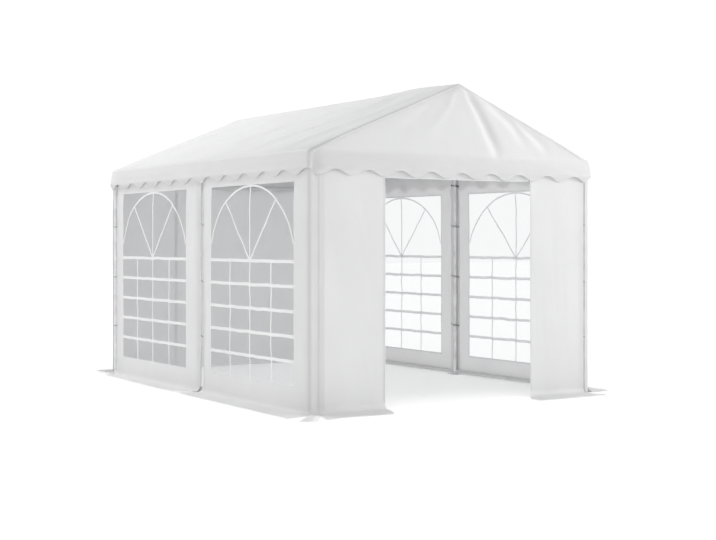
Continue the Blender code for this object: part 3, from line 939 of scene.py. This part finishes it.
def cover_profile(hem):
    """Cross-section of half the cover, (out, z) from the hem to the ridge, and the way each point faces."""
    turn = math.pi / 2 - PITCH
    low = np.array((COVER_X, COVER_EAVE - EAVE_ROUND * math.tan(turn / 2)))
    eave = arc(low - np.array((EAVE_ROUND, 0)), EAVE_ROUND, 0, turn, ARC_STEPS + 1)
    share = np.linspace(0, 1, VALANCE_ROWS + 1)[:-1]
    valance = np.stack([np.full(VALANCE_ROWS, COVER_X), hem + (low[1] - hem) * share], -1)
    up_slope = np.array((-math.cos(PITCH), math.sin(PITCH)))
    slope_end = np.array((0, COVER_TOP)) - RIDGE_ROUND * math.tan(PITCH / 2) * up_slope
    slope = eave[-1] + (slope_end - eave[-1]) * np.linspace(0, 1, SLOPE_ROWS + 1)[1:-1, None]
    top = arc(np.array((0.0, COVER_TOP - RIDGE_ROUND / math.cos(PITCH))), RIDGE_ROUND, turn, math.pi / 2, 4)
    points = np.concatenate([valance, eave, slope, top])
    run = unit(np.gradient(points, axis=0))
    outward = np.stack([run[:, 1], -run[:, 0]], -1)
    outward[:VALANCE_ROWS + 1] = (1, 0)
    outward[-1] = (0, 1)
    return points, outward


def cover_side(side):
    """Grid of the side's valance and slope, with both ends turned over towards the gables."""
    # Each column as its share of the flat length and its turn over the end
    turns = np.linspace(0, math.pi / 2, END_STEPS + 1)[1:]
    columns = [(-1.0, -turn) for turn in turns[::-1]]
    columns += [(share, 0.0) for share in SIDE_SHARES]
    columns += [(1.0, turn) for turn in turns]
    grid = []
    for share, turn in columns:
        hem_y = share * (COVER_Y - CORNER_ROUND) + CORNER_ROUND * math.sin(turn)
        profile, outward = cover_profile(float(scallop(hem_y, *SIDE_SCALLOPS)))
        z = profile[:, 1]
        radius = RAKE_ROUND + (CORNER_ROUND - RAKE_ROUND) * fade(z, COVER_EAVE, COVER_EAVE + 0.15)
        y = share * (COVER_Y - radius) + radius * math.sin(turn)
        spot = profile - outward * (radius * (1 - math.cos(turn)))[:, None]
        flare = flare_x = stand_out(z)
        end_share = np.clip((np.abs(y) / COVER_Y) ** 12, 0, 1)
        if side < 0 and share < 0:
            # Drawn in to the corner post
            flare_x = flare * (1 - 0.4 * ease(-y, 1.9, 2.01))
            end_share = end_share * 0.45
        y = y + np.sign(y) * flare * end_share
        grid.append(np.stack([side * (spot[:, 0] + flare_x), y, spot[:, 1]], -1))
    return np.stack(grid, 1)


def corner_pleat(x, z):
    """The soft hollow beside the front left corner, where the cover is drawn in to the post."""
    hollow = bell(x + 1.488, 0.032)
    return stand_out(z) * (0.2 * bell(x + 1.4, 0.05) - 0.9 * hollow) - 0.004 * hollow * fade(z, 2.04, 2.12)


def cover_end(left, right, end):
    """Grid of a gable with its valance, between the turned-over ends of the two sides."""
    left_edge, right_edge = left[:MEETING_ROW + 1], right[:MEETING_ROW + 1]
    top = np.concatenate([left[MEETING_ROW:], right[MEETING_ROW:-1][::-1]])
    u = (top[:, 0] - top[0, 0]) / (top[-1, 0] - top[0, 0])
    v = (left_edge[:, 2] - left_edge[0, 2]) / (left_edge[-1, 2] - left_edge[0, 2])
    hem_x = left_edge[0, 0] + u * (right_edge[0, 0] - left_edge[0, 0])
    hem_z = scallop(hem_x, *GABLE_SCALLOPS)
    for edge in (left_edge, right_edge):
        near = fade(np.abs(hem_x - edge[0, 0]), 0.0, 0.05)
        hem_z = hem_z * (1 - near) + edge[0, 2] * near
    hem = np.stack([hem_x, np.full_like(u, left_edge[0, 1]), hem_z], -1)
    hem[0], hem[-1] = left_edge[0], right_edge[0]
    u, v = u[None, :, None], v[:, None, None]
    patch = ((1 - v) * hem[None] + v * top[None] + (1 - u) * left_edge[:, None] + u * right_edge[:, None]
             - (1 - u) * (1 - v) * hem[0] - u * (1 - v) * hem[-1]
             - (1 - u) * v * top[0] - u * v * top[-1])
    out = stand_out(patch[..., 2])
    if end < 0:
        out = out + corner_pleat(patch[..., 0], patch[..., 2])
    patch[:-1, 1:-1, 1] = end * (COVER_Y + out[:-1, 1:-1])
    return patch


def fold(spots, path, width, depth):
    """A groove along a path with the cloth raised a little on both sides of it."""
    return depth * (0.35 * crease(spots, path, 2.3 * width) - 1.15 * crease(spots, path, width))


def slope_relief(points):
    """Tension folds that fan out from the front apex down the slope."""
    y = points[:, 1]
    down = np.abs(points[:, 0]) / math.cos(PITCH)
    spots = np.stack([down, y], -1)
    total = np.zeros(len(points))
    for path, rear, front, depth in SLOPE_GROOVES:
        downs, places = zip(*path)
        away = y - np.interp(down, downs, places)
        groove = np.where(away > 0, bell(away, rear), bell(away, front))
        crest = bell(away + 2.6 * front, front)
        reach = ease(down, downs[0] - 0.08, downs[0] + 0.15) * fade(down, downs[-1] - 0.5, downs[-1])
        total += depth * (0.3 * crest - groove) * reach
    for path, width, depth in SLOPE_FOLDS:
        total += fold(spots, path, width, depth)
    # The groove beside the front rake, and the swell of the ridge behind the apex
    total -= 0.004 * bell(y + 1.95, 0.02) * ease(down, 0.05, 0.4)
    total += 0.02 * bell(down, 0.16) * bell(y + 1.42, 0.42)
    # The sag between the frames
    off_frame = np.abs(((y + 1) % 2) - 1)
    total -= 0.008 * np.sin(math.pi * np.clip(down / 1.6, 0, 1)) * (1 - bell(off_frame, 0.25))
    total += 0.0022 * folds(y, down, 71, (0.33, 0.21, 0.14), 0.6)
    # The rafters, the ridge and the eave hold the cloth up
    held = np.minimum.reduce([off_frame, np.abs(down), np.abs(down - 1.61)])
    return np.maximum(total, -0.0015 - 0.06 * ease(held, 0.022, 0.13))


def gable_relief(points):
    """Folds that hang from the apex, faded out towards the rake."""
    x, z = points[:, 0], points[:, 2]
    spots = points[:, [0, 2]]
    total = np.zeros(len(points))
    for path, width, depth in GABLE_FOLDS:
        total += fold(spots, path, width, depth)
    total += 0.008 * crease(spots, GABLE_RIDGE, 0.07)
    total += 0.014 * bell(np.linalg.norm(spots - (0.1, 2.6), axis=1), 0.4)
    total += 0.0014 * folds(x, z, 73, (0.3, 0.17), 0.5)
    below = (RIDGE_HEIGHT - np.abs(x) * math.tan(PITCH) - z) * math.cos(PITCH)
    total *= ease(below, -0.024, 0.045)
    total -= 0.004 * bell(below + 0.004, 0.014) * (x < -0.05)
    return np.maximum(total, -0.001 - 0.06 * ease(below, 0.02, 0.1))


def relieved(points, faces):
    """The cover's grids sewn together, with a finer front gable and the folds pushed into the cloth."""
    shape = bmesh.new()
    corners = [shape.verts.new(p) for p in points]
    for face in faces:
        shape.faces.new([corners[v] for v in face])
    bmesh.ops.remove_doubles(shape, verts=shape.verts, dist=0.0003)
    gable = [edge for edge in shape.edges
             if all(v.co.y < -COVER_Y + 0.001 and v.co.z > 2.1 for v in edge.verts)]
    bmesh.ops.subdivide_edges(shape, edges=gable, cuts=1, use_grid_fill=True)
    bmesh.ops.recalc_face_normals(shape, faces=shape.faces)
    shape.normal_update()
    if sum(face.normal.z for face in shape.faces) < 0:
        bmesh.ops.reverse_faces(shape, faces=shape.faces)
        shape.normal_update()
    shape.verts.ensure_lookup_table()
    places = np.array([v.co for v in shape.verts])
    normals = np.array([v.normal for v in shape.verts])
    sewn = [[v.index for v in face.verts] for face in shape.faces]
    shape.free()
    on_slope = ease(normals[:, 2], 0.5, 0.85)
    on_gable = ease(np.abs(normals[:, 1]), 0.8, 0.97) * ease(places[:, 2], 2.02, 2.15) * (places[:, 1] < 0)
    push = slope_relief(places) * on_slope + gable_relief(places) * on_gable
    return places + normals * push[:, None], sewn


def add_roof_cover():
    """Two slopes, two gables and the valance as one sewn piece, with its trims."""
    left, right = cover_side(-1), cover_side(1)
    front, rear = cover_end(left[:, 0], right[:, 0], -1), cover_end(left[:, -1], right[:, -1], 1)
    points, faces = [], []
    for grid in (left, right, front, rear):
        faces.extend(grid_faces(grid, len(points)).reshape(-1, 4))
        points.extend(grid.reshape(-1, 3))
    cover = add_piece("roof_cover_cloth", relieved(points, faces), "roof", "roof_cover")
    thicken(cover, CLOTH)
    bound = [binding(left, (-1, 0, 0)), binding(right, (1, 0, 0)), binding(front, (0, -1, 0)),
             binding(rear, (0, 1, 0))]
    edge = add_piece("roof_cover_binding", join_parts(bound), "trim")
    pipes = [rake_piping(left[:, 0], right[:, 0], -1), rake_piping(left[:, -1], right[:, -1], 1)]
    piping = add_piece("roof_cover_piping", join_parts(pipes), "trim")


def binding(grid, outward):
    """A narrow band folded over the scalloped edge. grid holds the cover's rows from the hem up."""
    hem = grid[0]
    rise = unit(grid[1] - hem)
    normal = unit(np.asarray(outward, float) - rise * (rise @ outward)[:, None])
    height, skin = 0.009, 0.0004
    inner = CLOTH + skin
    corners = [hem + rise * up + normal * out for up, out in (
        (height, skin * 0.2), (height, skin), (-skin, skin), (-skin, -inner), (height, -inner),
        (height, -CLOTH - skin * 0.2))]
    return np.stack(corners, 1).reshape(-1, 3), ring_faces(len(hem), len(corners))


def rake_piping(left, right, end):
    """The cord sewn in along a rake, from the columns of both slopes at that end. It sinks in at the apex."""
    rake = np.concatenate([left[MEETING_ROW - 1:], right[MEETING_ROW - 1:-1][::-1]])
    x = rake[:, :1]
    apex = bell(x, 0.1)
    proud = np.where(x < 0, 0.003, -0.002) if end < 0 else 0.0005
    sunk = 0.0015 + 0.0035 * apex + 0.001 * (x > 0)
    path = rake + proud * (1 - 0.9 * apex) * np.array((0, end, 0)) - sunk * np.array((0, 0, 1))
    return sweep(path, PIPING_RADIUS, 10)


# Frame

# A clamping bolt's profiles from the sleeve outwards, (radius, height), with their number of sides
BOLT = (
    (((0.003, -0.001), (0.0086, -0.001), (0.0086, 0.0052), (0.0074, 0.0062), (0.003, 0.0062)), 6),
    (((0.003, 0.005), (0.0038, 0.0066), (0.0035, 0.0073), (0.0038, 0.008), (0.0035, 0.0087),
      (0.0038, 0.0094), (0.0035, 0.0101), (0.003, 0.0108)), 10),
    (((0.003, 0.0104), (0.0068, 0.0104), (0.0072, 0.0112), (0.0072, 0.0148), (0.006, 0.0158),
      (0.003, 0.0158)), 6),
)
# Distances from a fitting's centre along a sleeve, and the height of the weld on a foot plate
BOLT_PLACE, WELD_PLACE, FOOT_WELD = 0.086, 0.023, 0.0066
WELD_SIZE, WELD_STEPS, WELD_SIDES = 0.0024, 56, 6


def weld(centre, axis, radius, seed):
    """A rippled bead of weld round a tube."""
    axis, first, second = square_to(axis)
    swell = np.random.default_rng(seed).uniform(-0.1, 0.1, WELD_STEPS)
    ripple = 0.16 * np.sin(14 * 2 * math.pi * np.arange(WELD_STEPS) / WELD_STEPS)
    rings = []
    for way, size in zip(circle(first, second, WELD_STEPS), WELD_SIZE * (1 + swell + ripple)):
        rings.append(centre + way * radius + size * circle(0.5 * way, axis, WELD_SIDES))
    return np.concatenate(rings), ring_faces(WELD_STEPS, WELD_SIDES, closed=True)


def add_fastenings():
    """Bolts through the sleeves of the fittings, and welds at the sleeves and the foot plates."""
    # Each fitting's centre and its sleeves, as the way a sleeve runs and the side its bolt is on
    fittings = []
    for y, runs in zip(FRAMES.values(), ((1,), (1, -1), (-1,))):
        ridge = []
        for side in SIDES.values():
            inward = np.array((-side, 0, 0))
            up = np.array((-side * math.cos(PITCH), 0, math.sin(PITCH)))
            under = np.cross(up, (0, side, 0))
            fittings.append(((side * HALF_WIDTH, y, EAVE_HEIGHT),
                             [((0, 0, -1), inward), (up, under), *(((0, run, 0), inward) for run in runs)]))
            ridge.append((-up, under))
        ridge += [((0, run, 0), (0, 0, -1)) for run in runs]
        fittings.append(((0, y, RIDGE_HEIGHT), ridge))
    bolts, welds = [], []
    for number, (centre, sleeves) in enumerate(fittings):
        for way, bolt_side in sleeves:
            way, bolt_side = np.asarray(way, float), np.asarray(bolt_side, float)
            spot = centre + way * BOLT_PLACE + bolt_side * SLEEVE_RADIUS
            bolts += [turned(profile, spot, bolt_side, sides) for profile, sides in BOLT]
            welds.append(weld(centre + way * WELD_PLACE, way, SLEEVE_RADIUS, number))
    for side in SIDES.values():
        for y in FRAMES.values():
            welds.append(weld(np.array((side * HALF_WIDTH, y, FOOT_WELD)), (0, 0, 1), TUBE_RADIUS, 40))
    add_piece("frame_bolts", join_parts(bolts), "bolt", smooth_angle=30)
    add_piece("frame_welds", join_parts(welds), "steel")


def shown_nodes():
    return [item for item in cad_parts.values() if not item.hide_render]


def dress_frame():
    for item in shown_nodes():
        item.data.materials.clear()
        item.data.materials.append(FINISHES["steel"][0])


# Stage

# The camera of the photograph
CAMERA_PLACE = (-7.046, -11.216, 1.406)
CAMERA_TURN = -0.578
CAMERA_LENS = 66.68
CAMERA_SHIFT = -0.0398
FLOOR_REACH = 60.0
# The surround's strength falls from the first height of the sky to the second
WORLD_STRENGTH = {"From Min": 0.2, "From Max": 0.75, "To Min": 1.03, "To Max": 0.57}
# The tent's lamps: place, target, size and power
LAMPS = {
    "right_front": ((7.0, -5.5, 4.5), (0.0, -2.0, 1.8), 3.0, 305),
    "left_rear": ((-4.0, 4.8, 9.0), (-0.8, -0.3, 2.3), 2.0, 475),
}
SUN_WAY, SUN_POWER, SUN_ANGLE = (-0.1, -0.22, 1), 0.75, 0.5


def add_camera():
    camera = bpy.data.cameras.new("camera")
    camera.lens = CAMERA_LENS
    camera.sensor_width = 36
    camera.sensor_fit = "HORIZONTAL"
    camera.shift_y = CAMERA_SHIFT
    item = bpy.data.objects.new("camera", camera)
    item.location = CAMERA_PLACE
    item.rotation_euler = (math.pi / 2, 0, CAMERA_TURN)
    bpy.context.scene.collection.objects.link(item)
    bpy.context.scene.camera = item


def add_floor():
    """A plain floor that glows a little, so that it is as white as the surround."""
    mesh = bpy.data.meshes.new("floor")
    corners = [(x * FLOOR_REACH, y * FLOOR_REACH, 0) for x, y in ((-1, -1), (1, -1), (1, 1), (-1, 1))]
    mesh.from_pydata(corners, [], [(0, 1, 2, 3)])
    floor = bpy.data.objects.new("floor", mesh)
    bpy.context.scene.collection.objects.link(floor)
    finish = Finish("studio_floor")
    finish.feed(finish.shader, {
        "Base Color": grey(0.96), "Roughness": 0.9, "Specular IOR Level": 0.1,
        "Emission Color": grey(1.0), "Emission Strength": 0.2})
    mesh.materials.append(finish.material)
    floor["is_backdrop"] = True
    return floor


def add_lamp(light, way, lit):
    """Puts a light in the scene that comes from a direction and lights only the given pieces."""
    lamp = bpy.data.objects.new(light.name, light)
    bpy.context.scene.collection.objects.link(lamp)
    lamp.rotation_euler = Vector(way).to_track_quat("Z", "Y").to_euler()
    lamp.visible_camera = False
    receivers = bpy.data.collections.new(light.name + "_receivers")
    for item in lit:
        if item.name not in receivers.objects:
            receivers.objects.link(item)
    lamp.light_linking.receiver_collection = receivers
    return lamp


def add_lights(floor):
    """A white surround, dimmer overhead, two wide lamps on the tent and a soft one from above on the floor.

    The tent's lamps leave out the rear wall, and the floor, which stays as plain as the backdrop."""
    world = bpy.data.worlds.new("studio")
    world.use_nodes = True
    nodes, links = world.node_tree.nodes, world.node_tree.links
    parts = nodes.new("ShaderNodeSeparateXYZ")
    links.new(nodes.new("ShaderNodeTexCoord").outputs["Generated"], parts.inputs["Vector"])
    height = nodes.new("ShaderNodeMapRange")
    height.interpolation_type = "SMOOTHSTEP"
    for name, value in WORLD_STRENGTH.items():
        height.inputs[name].default_value = value
    links.new(parts.outputs["Z"], height.inputs["Value"])
    background = nodes["Background"]
    background.inputs["Color"].default_value = (1, 1, 1, 1)
    links.new(height.outputs["Result"], background.inputs["Strength"])
    bpy.context.scene.world = world
    tent = [item for item in [*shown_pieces(), *shown_nodes()] if not item.name.startswith("rear_wall")]
    for name, (place, target, size, power) in LAMPS.items():
        light = bpy.data.lights.new(name, "AREA")
        light.shape = "DISK"
        light.size = size
        light.energy = power
        add_lamp(light, Vector(place) - Vector(target), tent).location = place
    sun = bpy.data.lights.new("overhead", "SUN")
    sun.energy = SUN_POWER
    sun.angle = SUN_ANGLE
    add_lamp(sun, SUN_WAY, [floor])


add_camera()
floor = add_floor()
scene = bpy.context.scene
scene.view_settings.view_transform = "Standard"
scene.cycles.diffuse_bounces = 10
scene.cycles.transmission_bounces = 16
scene.cycles.max_bounces = 24
add_ties(add_side_walls(), add_end_walls())
add_roof_cover()
add_fastenings()
dress_frame()
add_lights(floor)
